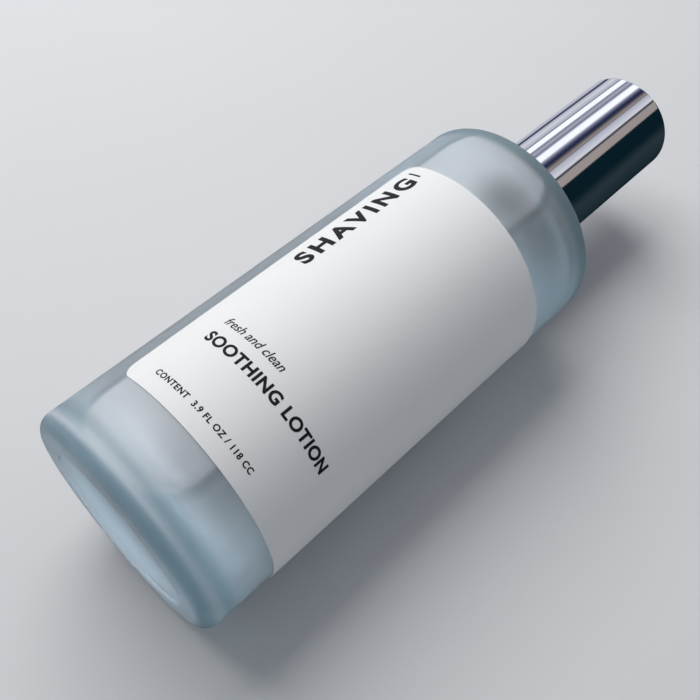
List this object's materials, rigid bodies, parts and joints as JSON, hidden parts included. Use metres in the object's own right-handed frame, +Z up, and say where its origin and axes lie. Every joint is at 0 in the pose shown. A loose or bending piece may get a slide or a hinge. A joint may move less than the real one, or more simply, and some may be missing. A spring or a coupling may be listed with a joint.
{
  "type": "aftershave bottle",
  "caption": "Cylindrical etched-glass bottle of aftershave mist with wrap-round labels, a screw-on fine mist sprayer and a tall bright metal overcap.",
  "frame": {"origin": "centre of the foot, on the surface the bottle stands on", "axes": "+Z up the bottle's axis from foot to overcap, -Y out of the front label, +X to the right as the front label is read"},
  "size_m": [0.047, 0.0474, 0.1531],
  "materials": {
    "etched_glass": "etched matt outside, clear inside",
    "liquid": "clear liquid",
    "label_film": "matt white film",
    "bright_metal": "mirror polished",
    "satin_aluminium": "satin anodised",
    "white_plastic": "moulded",
    "pump_plastic": "natural, slightly see-through",
    "tube_plastic": "clear",
    "piston_plastic": "soft",
    "button_plastic": "moulded",
    "nozzle_plastic": "moulded",
    "gasket_rubber": "soft foam",
    "spring_steel": "bright stainless"
  },
  "bodies": {
    "bottle": {"glass_bottle": "etched_glass", "aftershave_liquid": "liquid", "front_label": "label_film", "back_label": "label_film"},
    "pump": {"pump_housing": "pump_plastic", "pump_turret": "pump_plastic", "neck_gasket": "gasket_rubber", "ball_cage": "pump_plastic", "dip_tube": "tube_plastic", "return_spring": "spring_steel"},
    "collar": {"collar_shell": "satin_aluminium", "collar_insert": "white_plastic"},
    "overcap": {"overcap_shell": "bright_metal", "overcap_liner": "white_plastic"},
    "plunger": {"pump_stem": "pump_plastic", "pump_piston": "piston_plastic"},
    "actuator": {"spray_button": "button_plastic", "button_sleeve": "satin_aluminium", "nozzle_insert": "nozzle_plastic"},
    "valve_ball": {"inlet_ball": "spring_steel"}
  },
  "joints": [
    {"name": "pump_lift", "type": "slide", "parent": "bottle", "child": "pump", "axis": [0, 0, 1], "range_m": [0, 0.00476]},
    {"name": "collar_turn", "type": "hinge", "parent": "pump", "child": "collar", "pos_m": [0, 0, 0.115], "axis": [0, 0, 1], "range_deg": [0, 540]},
    {"name": "cap_pull", "type": "slide", "parent": "collar", "child": "overcap", "axis": [0, 0, 1], "range_m": [0, 0.04]},
    {"name": "spray_press", "type": "slide", "parent": "pump", "child": "plunger", "axis": [0, 0, -1], "range_m": [0, 0.0045], "stiffness_N_per_m": 1500, "deforming": ["return_spring"]},
    {"name": "head_swivel", "type": "hinge", "parent": "plunger", "child": "actuator", "pos_m": [0, 0, 0.135], "axis": [0, 0, 1], "continuous": true},
    {"name": "ball_lift", "type": "slide", "parent": "pump", "child": "valve_ball", "axis": [0, 0, 1], "range_m": [0, 0.0011]}
  ],
  "couplings": [
    {"joint": "collar_turn", "follows": "pump_lift", "rad_per_m": 1979}
  ]
}
